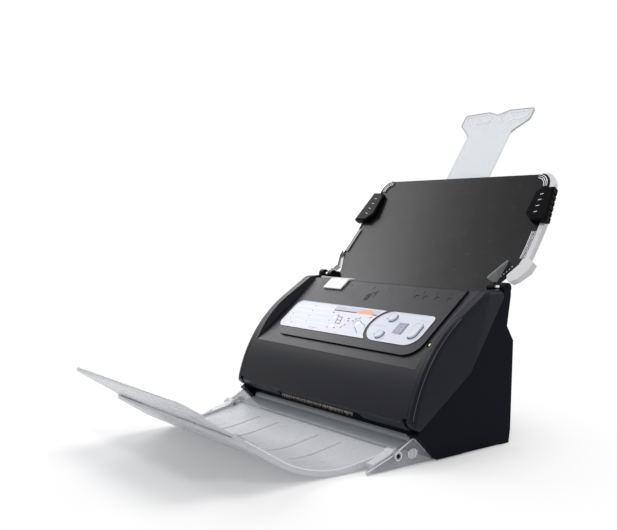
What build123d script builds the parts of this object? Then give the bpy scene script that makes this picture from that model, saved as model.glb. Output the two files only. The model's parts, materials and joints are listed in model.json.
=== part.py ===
from build123d import *
import os
from math import sin, cos, tan, radians, degrees, atan2, asin, pi

# Sheet-fed document scanner, in millimetres. X runs to the scanner's right, Y to its back, Z up.
# Side views are drawn as (Y, Z), with Y counted from near the middle of the body. Everything is
# moved back by centre_shift when it is written, so that the whole object is centred.

# Overall body
body_half_width = 131.5
beyond = 200.0
wall = 2.4
foot_height = 1.2
foot_radius = 7.0
parting_gap = 0.4
seat_gap = 0.2
running_gap = 0.05
slide_gap = 0.3

# Parting line between the opening front cover and the base, bent once
seam_bend = (18.0, 67.0)
seam_low_angle = 35.0
seam_high_angle = 56.0
seam_low_length = 74.6
seam_high_length = 74.0
deck_depth = 3.0
deck_thickness = 2.0
cover_deck_depth = 1.0

# Curved crest of the cover's side rails
crest_centre = (80.5, 4.2)
crest_radius = 132.3
crest_foot_height = 34.0
crest_end_y = 10.0
crest_line_length = 33.0
cover_top_height = 134.4
cover_rear_y = 57.6
lip_front = (-45.3, 29.9)
lip_under = (-40.1, 25.4)
rail_width = 7.5
rail_round = 5.0

# Control panel, sunk between the rails, with a raised plate
panel_height = 101.0
panel_slope = 38.0
panel_inset = 14.7
panel_half_width = body_half_width - panel_inset
panel_wall_flare = 0.45
panel_cut_height = 14.0
plate_rise = 1.6
plate_left = -(panel_half_width - 18.8)
plate_right = panel_half_width - 10.8
plate_bottom_along = -30.5
plate_corner_radius = 16.0
lip_top_height = 132.6

# Throat, where sheets go in behind the cover's top lip
throat_top_y = 46.5
throat_low_along = 31.0

# Cover hinge near the bottom front corner
hinge_along = -69.0
hinge_pin_radius = 1.8
hinge_corner_radius = 3.5
hinge_notch_radius = 9.5
hinge_lug_radius = 3.5
hinge_lug_width = 3.0
hinge_lug_outer = body_half_width - rail_width - slide_gap

# Base outline
base_front_y = -22.0
front_wall_y = -33.0
front_wall_top = 26.4
rear_foot_y = 64.4
rear_low = (66.6, 13.0)
rear_shoulder = (70.3, 89.7)
rear_waist = (62.4, 103.0)
rear_top = (67.3, 129.0)
rear_flange_height = 125.0
cheek_depth = 11.9
cheek_half_width = body_half_width - cheek_depth
ear = (63.5, 135.5)
ear_radius = 4.5
ear_width = 6.0
ear_inner = body_half_width - ear_width
scoop_radius = 130.0
scoop_height = 2.2

# Paper chute, leaning back, measured along and off the plane in which a sheet lies
sheet_point = (62.3, 128.3)
sheet_angle = 53.0
chute_low = 2.0
chute_high = 134.5
chute_front = -1.0
chute_sag = 5.0
chute_thickness = 2.6
chute_half_width = body_half_width - 5.5
chute_root_half_width = chute_half_width - 14.0
chute_top_half_width = chute_half_width - 11.5
chute_corner_radius = 14.0
chute_pin_radius = 2.0
chute_lug_inner = chute_root_half_width
chute_lug_outer = chute_lug_inner + 5.0
edging_width = 5.6
edging_low = 38.0
edging_end_x = chute_half_width - 26.0
edging_proud = 1.2
grip_base_off = -6.4
grip_top_off = 0.8
grip_low = 81.5
grip_high = 119.0
grip_bevel = 1.4
fence_x = chute_root_half_width - 3.2
fence_thickness = 1.6

# Clear extension at the top of the chute
extension_tilt = 2.0
extension_touch = 86.3
extension_top = 140.0
extension_low = 18.0
extension_valley = 5.0
extension_arm_half_width = 29.0
extension_top_half_width = 47.0
extension_thickness = 2.2
guide_rail_width = 2.6
guide_rail_low = -66.0
guide_rail_high = 36.0

# Output tray, on pivots at the ends of two clear brackets
tray_pivot = (-61.0, 10.3)
tray_pin_radius = 2.0
tray_eye_radius = 4.6
tray_rear = (-53.5, 10.7)
tray_valley = (-129.8, -2.0)
tray_front = (-194.0, 40.2)
tray_curve_radius = 100.0
tray_thickness = 2.2
tray_rim = 2.4
tray_half_width = cheek_half_width - 1.0
tray_front_half_width = tray_half_width - 11.6
tray_front_corner = 12.0
tray_arm_outer = ear_inner - 0.5
bracket_inner = tray_arm_outer + 0.4
bracket_thickness = 2.6
bracket_reach = 92.0

# Sliding front leaf of the tray
leaf_slope = 33.3
leaf_reach = 51.0
leaf_overlap = 21.0
leaf_half_width = tray_front_half_width - 11.0
leaf_thickness = 1.8
leaf_lift = 1.0
leaf_corner = 9.0

# Side frames, rollers and shafts
frame_inset = 2.6
frame_inner = cheek_half_width - frame_inset
frame_thickness = 1.4
shaft_radius = 3.0
feed_roller_along = 31.5
feed_roller_radius = 11.0
feed_tyre_width = 42.0
exit_roller_along = -39.0
exit_roller_radius = 8.0
exit_tyre_width = 18.0
exit_tyre_spacing = 120.0
roller_rise = 0.8
roller_nip = 0.3
pinch_radius = 5.0
pinch_shaft_radius = 1.5

# Gears on the left frame
tooth_module = 1.0
mesh_gap = 0.12
gear_width = 3.6
gear_inner = frame_inner + frame_thickness + 0.8
feed_gear_teeth = 18
idler_teeth = 22
exit_gear_teeth = 12
pinion_teeth = 12
idler_axle_radius = 2.0
motor_shaft_radius = 1.5
motor_radius = 13.0
motor_length = 34.0

# Scan bars behind their glasses
scan_bar_inset = 6.0
scan_bar_length = 2 * (frame_inner - scan_bar_inset)
scan_bar_width = 17.0
scan_bar_height = 11.0
scan_glass_thickness = 2.0
rear_scan_along = -14.0
front_scan_along = 12.5

# Label, keypad, buttons and light
label_height = 36.4
label_middle = -1.8
label_left = plate_left - 4.5
label_thickness = 0.6
keypad_right = plate_right - 8.8
keypad_round_x = keypad_right - 51.3
keypad_gap_radius = 22.6
round_button_x = keypad_round_x + 2.1
round_button_rise = 9.0
round_button_drop = -12.4
round_button_radius = 4.7
scan_button_x = keypad_right - 10.8
scan_button_along = -2.8
scan_button_length = 18.5
scan_button_width = 9.6
button_rise = 1.5
button_travel = 1.2
button_gap = 0.35
button_flange_depth = 4.3
button_bevel = 0.7
button_flange_width = 1.2
window_x = scan_button_x - 20.1
window_along = -2.2
window_width = 11.4
window_height = 13.2
led_x = panel_half_width - 4.3
led_along = -13.7
led_radius = 1.6
tick_places = (106.6, 92.4, 74.5, 58.4, 45.2, -11.3)
tick_along = 45.0

# Bottom plate and what is fixed to it
plate_top = foot_height + wall
screw_x = frame_inner - 5.0
screw_places = [(-screw_x, 8.0), (screw_x, 8.0), (-screw_x, 44.0), (screw_x, 44.0)]
foot_places = [(-98.0, -3.0), (98.0, -3.0), (-98.0, 54.0), (98.0, 54.0)]
screw_radius = 1.5
screw_head_radius = 3.0
screw_head_height = 0.8

# Sockets at the back
socket_height = 24.0
jack_x = -88.0
jack_hole_radius = 3.2
jack_body_radius = 5.0
jack_depth = 9.0
usb_x = -62.0
usb_width = 12.0
usb_height = 11.0
lock_x = 58.0
board_y = 54.0

# Release latch and width guide
latch_pivot = (51.7, 124.0)
latch_outer = body_half_width - rail_width - 1.0
latch_inner = latch_outer - 4.6
latch_pin_radius = 1.2
guide_left = -84.0
guide_right = -56.0
guide_fence_x = -(panel_half_width - 6.8)
guide_thickness = 1.4

# Brush in the exit slot
brush_left = -58.0
brush_right = 52.0
tuft_count = 26
strands_across = 6
strand_length = 4.6


# Points of the side view


def direction(angle):
    return Vector(cos(radians(angle)), sin(radians(angle)))


def normal(angle):
    return Vector(-sin(radians(angle)), cos(radians(angle)))


def seam_point(along, depth):
    """Point along the parting line from its bend, lifted towards the cover by a depth."""
    bend = Vector(*seam_bend)
    low, high = normal(seam_low_angle), normal(seam_high_angle)
    if along == 0:
        return bend + (low + high) * (depth / (1 + low.dot(high)))
    angle = seam_high_angle if along > 0 else seam_low_angle
    return bend + direction(angle) * along + normal(angle) * depth


def panel_point(along, rise):
    return Vector(0, panel_height) + direction(panel_slope) * along + normal(panel_slope) * rise


def sheet_place(along, off):
    return Vector(*sheet_point) + direction(sheet_angle) * along + normal(sheet_angle) * off


def pair(point):
    return (point.X, point.Y) if isinstance(point, Vector) else tuple(point)


# Outlines and solids


def polygon(points):
    return make_face(Polyline(*[pair(p) for p in points], close=True))


def rounded(points, radii):
    """Closed outline with one corner radius for each point."""
    return make_face(FilletPolyline(*[pair(p) for p in points], radius=radii, close=True))


def prism(face, x_from, x_to):
    """Solid with a side-view outline, from one X to another."""
    return extrude(Plane.YZ.offset(x_from) * face, amount=x_to - x_from)


def disc(centre, radius, x_from, x_to):
    """Round solid with its axis along X."""
    return prism(Pos(*pair(centre)) * Circle(radius), x_from, x_to)


def box(x, y, z):
    """Block between two values on each axis."""
    return Pos((x[0] + x[1]) / 2, (y[0] + y[1]) / 2, (z[0] + z[1]) / 2) * Box(
        x[1] - x[0], y[1] - y[0], z[1] - z[0])


def slab(plane, outline, low, high):
    """Plate drawn on a sloping plane, between two heights above it."""
    return extrude(plane.offset(low) * outline, amount=high - low)


def pad(plane, x, along, width, length, low, high):
    """Rectangular block on a sloping plane."""
    return slab(plane, Pos(x, along) * Rectangle(width, length), low, high)


def both_sides(part):
    return part + mirror(part, about=Plane.YZ)


def sloping_plane(point, angle):
    """Plane with its X to the scanner's right and its Y up a slope."""
    return Plane(origin=(0, *point), x_dir=(1, 0, 0),
                 z_dir=(0, -sin(radians(angle)), cos(radians(angle))))


panel_plane = sloping_plane((0, panel_height), panel_slope)
sheet_plane = sloping_plane(sheet_point, sheet_angle)
low_seam_plane = sloping_plane(seam_bend, seam_low_angle)
high_seam_plane = sloping_plane(seam_bend, seam_high_angle)
leaf_plane = Plane(origin=(0, *tray_front), x_dir=(-1, 0, 0),
                   z_dir=(0, sin(radians(leaf_slope)), cos(radians(leaf_slope))))

feed_axis = seam_point(feed_roller_along, roller_rise - deck_depth - feed_roller_radius)
exit_axis = seam_point(exit_roller_along, roller_rise - deck_depth - exit_roller_radius)
pinch_axis = seam_point(exit_roller_along, roller_rise - deck_depth + roller_nip + pinch_radius)
exit_tyre_places = (-exit_tyre_spacing / 2, exit_tyre_spacing / 2)
shell_edge = body_half_width - rail_width - parting_gap
hinge = seam_point(hinge_along, hinge_corner_radius + parting_gap / 2)

# The clear extension lies flat against the back of the bowed chute
chute_middle = (chute_low + chute_high) / 2
chute_half_length = (chute_high - chute_low) / 2
touch_sag = chute_sag * (1 - ((extension_touch - chute_middle) / chute_half_length) ** 2)
extension_start = sheet_place(extension_touch, chute_front - chute_thickness - touch_sag - slide_gap)
extension_angle = sheet_angle + extension_tilt
extension_plane = sloping_plane(pair(extension_start), extension_angle)

# The object reaches from the leaf's front edge to the top of the chute extension
front_reach = tray_front[0] - leaf_reach * cos(radians(leaf_slope)) + leaf_lift * sin(
    radians(leaf_slope))
rear_reach = extension_start.X + extension_top * cos(radians(
    extension_angle)) + extension_thickness * sin(radians(extension_angle))
centre_shift = -(front_reach + rear_reach) / 2


# Base


def base_front_corner(inset):
    """Point where the sloping front edge of a cheek meets the parting line."""
    low = foot_height + inset
    foot_y = base_front_y + inset * tan(radians(67.5))
    seam = seam_point(0, -parting_gap / 2 - inset)
    slope = tan(radians(seam_low_angle))
    y = (low + foot_y - seam.Y + seam.X * slope) / (1 + slope)
    return Vector(y, low + foot_y - y)


def base_side_outline(inset):
    """Side view of a base cheek, inset by a wall."""
    depth = -parting_gap / 2 - inset
    foot_y = base_front_y + inset * tan(radians(67.5))
    low = foot_height + inset
    ear_top = ear[1] - 2 * inset
    return polygon([
        (foot_y, low), base_front_corner(inset), seam_point(0, depth),
        seam_point(seam_high_length - inset, depth), (ear[0] - ear_radius + inset, ear_top),
        (rear_top[0] - inset, ear_top), (rear_top[0] - inset, rear_top[1]),
        (rear_waist[0] - inset, rear_waist[1]), (rear_shoulder[0] - inset, rear_shoulder[1]),
        (rear_low[0] - inset, rear_low[1]), (rear_foot_y - inset, low),
    ])


def make_cheek():
    """Hollow right-hand cheek, open towards the middle, with its ear."""
    whole = prism(base_side_outline(0), cheek_half_width, body_half_width)
    ear_block = box((ear_inner, body_half_width), (50, 80), (118, 150))
    room = prism(base_side_outline(wall), cheek_half_width - 1, body_half_width - wall)
    cheek = whole - (room - ear_block)
    cheek -= box((cheek_half_width - 1, ear_inner), (50, 80), (rear_flange_height, 150))
    cheek += disc(ear, ear_radius, ear_inner, body_half_width)
    cheek -= disc(ear, chute_pin_radius, ear_inner - 1, body_half_width - 1.2)
    scoop_place = Pos(body_half_width, 30, foot_height + scoop_height - scoop_radius)
    cheek -= scoop_place * Rot(0, 90, 0) * Cylinder(scoop_radius, 1.6)
    return cheek


def make_hinge_lug():
    """Round lug with a web, beside the right-hand cheek, for the cover's hinge pin."""
    inner = hinge_lug_outer - hinge_lug_width
    web = polygon([(hinge.X - 2.4, hinge.Y - 2.6), (hinge.X + 1.8, hinge.Y + 3.0),
                   (front_wall_y + wall, front_wall_top), (front_wall_y + wall, 12.0)])
    lug = disc(hinge, hinge_lug_radius, inner, hinge_lug_outer) + prism(web, inner, hinge_lug_outer)
    return lug


def make_base_housing():
    """Two side cheeks joined by a front wall, with hinge lugs, ears and a latch window."""
    side = make_cheek() + make_hinge_lug()
    side -= disc(hinge, hinge_pin_radius, cheek_half_width - 1, hinge_lug_outer + 0.2)
    housing = both_sides(side)
    low_y = base_front_y + wall * tan(radians(67.5))
    wall_low = foot_height + base_front_y - front_wall_y
    front = polygon([
        (base_front_y, foot_height), (front_wall_y, wall_low), (front_wall_y, front_wall_top),
        (front_wall_y + wall, front_wall_top), (front_wall_y + wall, wall_low + 1.0),
        (low_y, foot_height + wall), (low_y + 4, foot_height + wall), (low_y + 4, foot_height)])
    housing += prism(front, -cheek_half_width - 1, cheek_half_width + 1)
    housing -= latch_window()
    return housing


def latch_window():
    """Slot in the cheek's top for the tail of the release latch."""
    return pad(high_seam_plane, (latch_inner + latch_outer) / 2, 60.0,
               latch_outer - latch_inner + 2 * slide_gap, 13.0, -6, 2)


def make_bottom_plate():
    """Bottom plate between the cheeks, with cooling slots and screw holes."""
    half = cheek_half_width - seat_gap
    front_y = base_front_y + wall * tan(radians(67.5)) + 4 + seat_gap
    plate = box((-half, half), (front_y, rear_foot_y - 0.3), (foot_height, plate_top))
    for row in range(6):
        plate -= Pos(0, 4 + 7 * row, foot_height) * Box(56, 2.6, 16)
    for x, y in screw_places:
        plate -= Pos(x, y, foot_height) * Cylinder(screw_radius + seat_gap, 20)
    return plate


def make_case_screws():
    """Four screws that hold the bottom plate to the feet of the side frames."""
    screws = []
    for x, y in screw_places:
        head = Circle(screw_head_radius)
        screw = slab(Plane.XY, head, foot_height - screw_head_height, foot_height)
        screw += slab(Plane.XY, Circle(screw_radius), foot_height, foot_height + 4.4)
        screws.append(Pos(x, y) * screw)
    return screws


def make_rubber_feet():
    """Four round feet on which the scanner stands."""
    foot = Cylinder(foot_radius, foot_height, align=(Align.CENTER, Align.CENTER, Align.MIN))
    return [Pos(x, y, 0) * foot for x, y in foot_places]


def make_rear_cover():
    """Back panel with a stepped waist, a top flange, openings for the sockets and vents."""
    low = plate_top + slide_gap
    low_y = rear_foot_y + (rear_low[0] - rear_foot_y) * (low - foot_height) / (
        rear_low[1] - foot_height)
    top_y = rear_waist[0] + (rear_top[0] - rear_waist[0]) * (rear_flange_height - rear_waist[1]) / (
        rear_top[1] - rear_waist[1])
    outer = [(low_y, low), rear_low, rear_shoulder, rear_waist, (top_y, rear_flange_height)]
    flange = [(61.4, rear_flange_height), (61.4, rear_flange_height - wall)]
    inner = [(y - wall, z) for y, z in outer[3::-1]]
    corner = [(top_y - wall - 0.4, rear_flange_height - wall)]
    half = cheek_half_width - seat_gap
    panel = prism(polygon(outer + flange + corner + inner), -half, half)
    depth = (50, 90)
    panel -= box((usb_x - usb_width / 2 - seat_gap, usb_x + usb_width / 2 + seat_gap), depth,
                 (socket_height - usb_height / 2 - seat_gap, socket_height + usb_height / 2 + seat_gap))
    panel -= Pos(jack_x, 70, socket_height) * Rot(90, 0, 0) * Cylinder(
        jack_body_radius + seat_gap, 30)
    panel -= box((lock_x - 3.5, lock_x + 3.5), depth, (socket_height - 1.5, socket_height + 1.5))
    for column in range(14):
        x = 6.0 * column - 39.0
        panel -= box((x - 1.3, x + 1.3), depth, (48, 74))
    return panel


def back_face(height):
    """Y of the back panel's outer face, below the shoulder."""
    slope = (rear_shoulder[0] - rear_low[0]) / (rear_shoulder[1] - rear_low[1])
    return rear_low[0] + slope * (height - rear_low[1])


def make_circuit_board():
    """Main board standing behind the back panel, with a row of chips and a heat spreader."""
    board = box((-104, 44), (board_y, board_y + 1.6), (plate_top + slide_gap, 46))
    for x in (-30, -6, 20):
        board += box((x - 7, x + 7), (board_y - 1.4, board_y), (22, 34))
    board += box((-100, -48), (board_y - 3.0, board_y), (10, 16))
    return board


def make_power_jack():
    """Round low-voltage socket with a centre pin."""
    start = board_y + 1.6 + seat_gap / 2
    face = back_face(socket_height) - 0.2
    length = face - start
    lie = Pos(jack_x, 0, socket_height) * Rot(-90, 0, 0)
    align = (Align.CENTER, Align.CENTER, Align.MIN)
    body = Pos(0, start, 0) * lie * Cylinder(jack_body_radius, length, align=align)
    body -= Pos(0, face - jack_depth, 0) * lie * Cylinder(jack_hole_radius, jack_depth + 1, align=align)
    body += Pos(0, face - jack_depth - 0.5, 0) * lie * Cylinder(1.0, jack_depth - 0.7, align=align)
    return body


def make_usb_port():
    """Square data socket with a tongue."""
    start = board_y + 1.6 + seat_gap / 2
    face = back_face(socket_height) - 0.2
    x = (usb_x - usb_width / 2, usb_x + usb_width / 2)
    z = (socket_height - usb_height / 2, socket_height + usb_height / 2)
    port = box(x, (start, face), z)
    port -= box((x[0] + 1, x[1] - 1), (start + 3, face + 1), (z[0] + 1, z[1] - 1))
    port += box((x[0] + 3.2, x[1] - 3.2), (start + 2, face - 1), (socket_height - 1, socket_height + 2))
    return port


# Paper path in the base


def strip_along_seam(low_end, high_end, top, thickness):
    """Bent strip that follows the parting line."""
    low = top - thickness
    return polygon([
        seam_point(low_end, top), seam_point(0, top), seam_point(high_end, top),
        seam_point(high_end, low), seam_point(0, low), seam_point(low_end, low)])


def make_paper_deck():
    """Lower paper guide from the throat to the exit, with windows for rollers and glass."""
    nose_along = -seam_low_length + 12.7
    half = frame_inner - seat_gap
    deck = prism(strip_along_seam(nose_along, 68.0, -deck_depth, deck_thickness), -half, half)
    nose = seam_point(nose_along, -deck_depth - deck_thickness / 2)
    deck += disc(nose, deck_thickness / 2, -half, half)
    deck -= pad(high_seam_plane, 0, feed_roller_along, feed_tyre_width + 4, 18, -10, 2)
    for x in exit_tyre_places:
        deck -= pad(low_seam_plane, x, exit_roller_along, exit_tyre_width + 4, 14, -10, 2)
    deck -= pad(low_seam_plane, 0, rear_scan_along, scan_bar_length + 2 * seat_gap,
                scan_bar_width + 2 * seat_gap, -10, 2)
    for column in range(5):
        for side in (-1, 1):
            x = side * (36 + 16 * column)
            deck += pad(high_seam_plane, x, 42, 1.4, 40, -deck_depth - 1, -deck_depth + 0.6)
    return deck


def make_scan_bar(plane, along, near, far):
    """Scan bar with a narrower back, between two heights above the plane."""
    low, high = min(near, far), max(near, far)
    bar = pad(plane, 0, along, scan_bar_length, scan_bar_width, low, high)
    step = 3.5 if far > near else -3.5
    back = (far - step, far + step)
    for side in (-1, 1):
        bar -= pad(plane, 0, along + side * scan_bar_width / 2, scan_bar_length + 2, 6,
                   min(back), max(back))
    return bar


def make_side_frame():
    """Right-hand pressed frame that carries the shafts, with a foot on the bottom plate."""
    low = plate_top + slide_gap
    top = -deck_depth - deck_thickness - 0.5
    outline = polygon([(-16, low), seam_point(-52, -9.0), seam_point(0, top), seam_point(60, top),
                       (59.2, 104), (59.2, low)])
    frame = prism(outline, frame_inner, frame_inner + frame_thickness)
    frame -= prism(Pos(46, 28) * Rectangle(20, 28), frame_inner - 1, frame_inner + 3)
    for centre in (feed_axis, exit_axis):
        frame -= disc(centre, shaft_radius + running_gap, frame_inner - 1, frame_inner + 3)
    frame += box((frame_inner - 9, frame_inner + 0.5), (-8, 52), (low, low + frame_thickness))
    for x, y in screw_places:
        frame -= Pos(x, y, low) * Cylinder(screw_radius, 8)
    return frame


def make_left_frame():
    """Left-hand frame with three axles for the idler gears and a hole for the motor."""
    frame = mirror(make_side_frame(), about=Plane.YZ)
    for centre in idler_axes:
        frame += disc(centre, idler_axle_radius, -gear_inner - gear_width - 1, -frame_inner)
    frame -= disc(pinion_axis, motor_shaft_radius + 1, -frame_inner - 3, -frame_inner + 1)
    return frame


def make_shaft(centre):
    """Steel shaft across the frames, long enough to carry its gear on the left."""
    return disc(centre, shaft_radius, -gear_inner - gear_width - 0.5, frame_inner + 3.0)


def make_tyres(centre, radius, width, places):
    """Rubber tyres on a shaft, as a group of rings."""
    ring = Pos(*pair(centre)) * (Circle(radius) - Circle(shaft_radius))
    return [prism(ring, x - width / 2, x + width / 2) for x in places]


# Gear train


def gear_outline(teeth, phase):
    """Spur gear outline with straight-sided teeth, one tooth centred at the phase angle."""
    pitch_radius = teeth * tooth_module / 2
    tip, root = pitch_radius + 0.75 * tooth_module, pitch_radius - 1.1 * tooth_module
    pitch = 2 * pi / teeth
    points = []
    for tooth in range(teeth):
        for share, radius in ((-0.27, root), (-0.09, tip), (0.09, tip), (0.27, root)):
            angle = phase + (tooth + share) * pitch
            points.append((radius * cos(angle), radius * sin(angle)))
    return polygon(points)


def mesh_phase(centre, phase, teeth, next_centre, next_teeth):
    """Phase of the next gear, so that its gap meets a tooth of this one."""
    line = next_centre - centre
    angle = atan2(line.Y, line.X)
    share = ((angle - phase) * teeth / (2 * pi)) % 1
    return angle + pi + (share + 0.5) * 2 * pi / next_teeth


def reach_between(teeth, next_teeth):
    return (teeth + next_teeth) * tooth_module / 2 + mesh_gap


def middle_axis(a, b, reach):
    """Axis of a gear that meshes with two others, on the side away from the cover."""
    half = (b - a) * 0.5
    drop = (reach ** 2 - half.length ** 2) ** 0.5
    side = Vector(half.Y, -half.X) * (1 / half.length)
    return a + half + side * drop


idler_low = exit_axis + direction(15.0) * reach_between(exit_gear_teeth, idler_teeth)
idler_high = feed_axis + direction(245.0) * reach_between(feed_gear_teeth, idler_teeth)
idler_mid = middle_axis(idler_low, idler_high, reach_between(idler_teeth, idler_teeth))
pinion_axis = idler_low + direction(-75.0) * reach_between(idler_teeth, pinion_teeth)
idler_axes = [idler_low, idler_mid, idler_high]
train = [
    ("exit_gear", exit_axis, exit_gear_teeth), ("idler_gear_low", idler_low, idler_teeth),
    ("idler_gear_middle", idler_mid, idler_teeth), ("idler_gear_high", idler_high, idler_teeth),
    ("feed_gear", feed_axis, feed_gear_teeth)]


def make_gear(centre, teeth, phase, bore):
    """Gear on the outer side of the left frame."""
    face = gear_outline(teeth, phase) - Circle(bore)
    return prism(Pos(*pair(centre)) * face, -gear_inner - gear_width, -gear_inner)


def make_gears():
    """All gears, in mesh from the exit roller to the feed roller, and the motor's pinion."""
    gears = {}
    phases = {}
    phase = 0.0
    for index, (name, centre, teeth) in enumerate(train):
        if index:
            _, before, before_teeth = train[index - 1]
            phase = mesh_phase(before, phase, before_teeth, centre, teeth)
        phases[name] = phase
        bore = idler_axle_radius + running_gap if "idler" in name else shaft_radius
        gears[name] = make_gear(centre, teeth, phase, bore)
    phase = mesh_phase(idler_low, phases["idler_gear_low"], idler_teeth, pinion_axis, pinion_teeth)
    pinion = make_gear(pinion_axis, pinion_teeth, phase, motor_shaft_radius / 2)
    pinion += disc(pinion_axis, motor_shaft_radius, -gear_inner - gear_width, -frame_inner + 8)
    gears["motor_pinion"] = pinion
    return gears


def make_drive_motor():
    """Stepping motor with a two-eared flange on the left frame."""
    end = -frame_inner + 0.1
    motor = disc(pinion_axis, motor_radius, end + 1.5, end + 1.5 + motor_length)
    flange = Pos(*pair(pinion_axis)) * Rectangle(40, 14)
    motor += prism(flange, end, end + 1.5)
    motor -= disc(pinion_axis, motor_shaft_radius + running_gap, end - 1, end + 9)
    return motor


# Front cover


def crest_point(angle, inset):
    """Point of the crest circle, by its angle above the front."""
    reach = crest_radius - inset
    return Vector(crest_centre[0] - reach * cos(angle), crest_centre[1] + reach * sin(angle))


def cover_outline(front_points, seam_depth):
    """Side view of the cover: curved crest, straight top end, parting line, front points."""
    foot_angle = asin((crest_foot_height - crest_centre[1]) / crest_radius)
    end_angle = pi / 2 - asin((crest_centre[0] - crest_end_y) / crest_radius)
    foot = crest_point(foot_angle, 0)
    middle = crest_point((foot_angle + end_angle) / 2, 0)
    arc_end = crest_point(end_angle, 0)
    line_end = arc_end + direction(90 - degrees(end_angle)) * crest_line_length
    rest = [arc_end, line_end, Vector(line_end.X + 4, cover_top_height),
            Vector(cover_rear_y, cover_top_height), seam_point(seam_high_length, seam_depth),
            seam_point(0, seam_depth)] + [Vector(*pair(p)) for p in front_points] + [foot]
    edges = [ThreePointArc(pair(foot), pair(middle), pair(arc_end))]
    edges += [Line(pair(a), pair(b)) for a, b in zip(rest, rest[1:])]
    return make_face(Wire(edges))


def throat_outline():
    """Everything behind the cover's throat face, in the side view."""
    return polygon([seam_point(throat_low_along, 0), (throat_top_y, lip_top_height - 2),
                    (throat_top_y, 170), (130, 170), (130, 80), seam_point(throat_low_along, -6)])


def panel_cutter():
    """Long wedge above the control panel, with sloping side walls."""
    half, height = panel_half_width, panel_cut_height + plate_rise
    flare = panel_wall_flare * height
    section = polygon([(-half, 0), (half, 0), (half + flare, height), (-half - flare, height)])
    start = panel_plane.from_local_coords((0, -60, -plate_rise))
    plane = Plane(origin=start, x_dir=(1, 0, 0),
                  z_dir=(0, -cos(radians(panel_slope)), -sin(radians(panel_slope))))
    return extrude(plane * section, amount=-160)


def raised_plate():
    """Raised plate of the control panel, running up to the lip."""
    width = plate_right - plate_left
    length = 100.0
    place = Pos((plate_left + plate_right) / 2, plate_bottom_along + length / 2)
    return slab(panel_plane, place * RectangleRounded(width, length, plate_corner_radius), -30, 0)


def cover_room():
    """Hollow inside the cover shell, open towards the paper path."""
    top = -wall - plate_rise
    floor = cover_deck_depth + deck_thickness + seat_gap
    low_end = -seam_low_length + 22
    high_end = throat_low_along - 8
    inner = polygon([
        panel_point(42, top), panel_point(-75, top), (-60, 36.5), (-37.0, 36.0),
        seam_point(low_end, floor), seam_point(0, floor), seam_point(high_end, floor)])
    inner = inner & Pos(*crest_centre) * Circle(crest_radius - wall)
    room = prism(inner, -shell_edge + wall, shell_edge - wall)
    mouth = strip_along_seam(low_end, high_end, floor + 3, 8)
    half = frame_inner + 1
    return room + prism(mouth, -half, half)


def make_cover_shell():
    """Opening front cover: crest walls, sunk control panel with a raised plate, hollow inside."""
    outline = cover_outline([seam_point(-66, cover_deck_depth), lip_under, lip_front],
                            cover_deck_depth)
    shell = prism(outline, -shell_edge, shell_edge)
    throat_half = frame_inner
    shell -= prism(throat_outline(), -throat_half, throat_half)
    corner = box((throat_half - 1.5, shell_edge + 1), (48.2, 90), (90, 150))
    notch = disc(hinge, hinge_notch_radius, cheek_half_width - slide_gap, beyond)
    shell -= both_sides(corner + notch)
    shell -= panel_cutter() - raised_plate()
    shell -= box((-throat_half - 1, throat_half + 1), (36, 60), (lip_top_height, 150))
    shell -= cover_room()
    exit_notch = polygon([(-64, 20), (64, 20), (60, 30.6), (-60, 30.6)])
    shell -= extrude(Plane(origin=(0, -60, 0), x_dir=(1, 0, 0), z_dir=(0, -1, 0)) * exit_notch,
                     amount=-24)
    shell -= pad(high_seam_plane, 0, 29.5, 36 + 2 * seat_gap, 12 + 2 * seat_gap, -3, 8)
    shell -= panel_recesses()
    return shell


def panel_recesses():
    """Recesses for the label and the keypad, holes for buttons, window and light, scale marks."""
    label, keypad = panel_outlines(seat_gap)
    cuts = slab(panel_plane, label, -label_thickness, 5)
    cuts += slab(panel_plane, keypad, -label_thickness, 5)
    for outline in button_outlines(button_gap) + [window_outline(seat_gap)]:
        cuts += slab(panel_plane, outline, -8, 5)
    cuts += slab(panel_plane, Pos(led_x, led_along) * Circle(led_radius + 0.1), -8, 5)
    for x in tick_places:
        for side in (-1, 1):
            cuts += pad(panel_plane, side * x, tick_along, 0.6, 3.2, -0.3, 1)
    return cuts


def panel_outlines(grow):
    """Outlines of the label and of the keypad's face, with a round gap between them."""
    height = label_height + 2 * grow
    width = keypad_round_x - label_left + grow
    label = Pos(label_left - grow + width / 2, label_middle) * RectangleRounded(width, height, 8)
    label -= Pos(keypad_round_x, label_middle) * Circle(keypad_gap_radius - grow)
    label -= Pos(keypad_round_x, label_middle) * Rectangle(24, 60)
    half = height / 2
    middle = Pos(keypad_round_x, label_middle)
    right = keypad_right + grow - keypad_round_x
    keypad = middle * Circle(half)
    keypad += middle * rounded([(0, -half), (right, -half), (right, half), (0, half)],
                               [0, 14.0, 5.0, 0])
    return label, keypad


def button_outlines(grow):
    radius = round_button_radius + grow
    return [
        Pos(round_button_x, round_button_rise) * Circle(radius),
        Pos(round_button_x, round_button_drop) * Circle(radius),
        Pos(scan_button_x, scan_button_along) * Rot(0, 0, 90) * SlotOverall(
            scan_button_length + 2 * grow, scan_button_width + 2 * grow)]


def window_outline(grow):
    return Pos(window_x, window_along) * RectangleRounded(
        window_width + 2 * grow, window_height + 2 * grow, 1.2)


def make_panel_label():
    """Thin plate with rounded corners and one hollow end, in its recess."""
    return slab(panel_plane, panel_outlines(0)[0], -label_thickness, 0.3)


def make_keypad_plate():
    """Keypad face with openings for the three buttons and the window."""
    plate = slab(panel_plane, panel_outlines(0)[1], -label_thickness, 0.3)
    for outline in button_outlines(button_gap) + [window_outline(seat_gap)]:
        plate -= slab(panel_plane, outline, -8, 5)
    return plate


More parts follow.
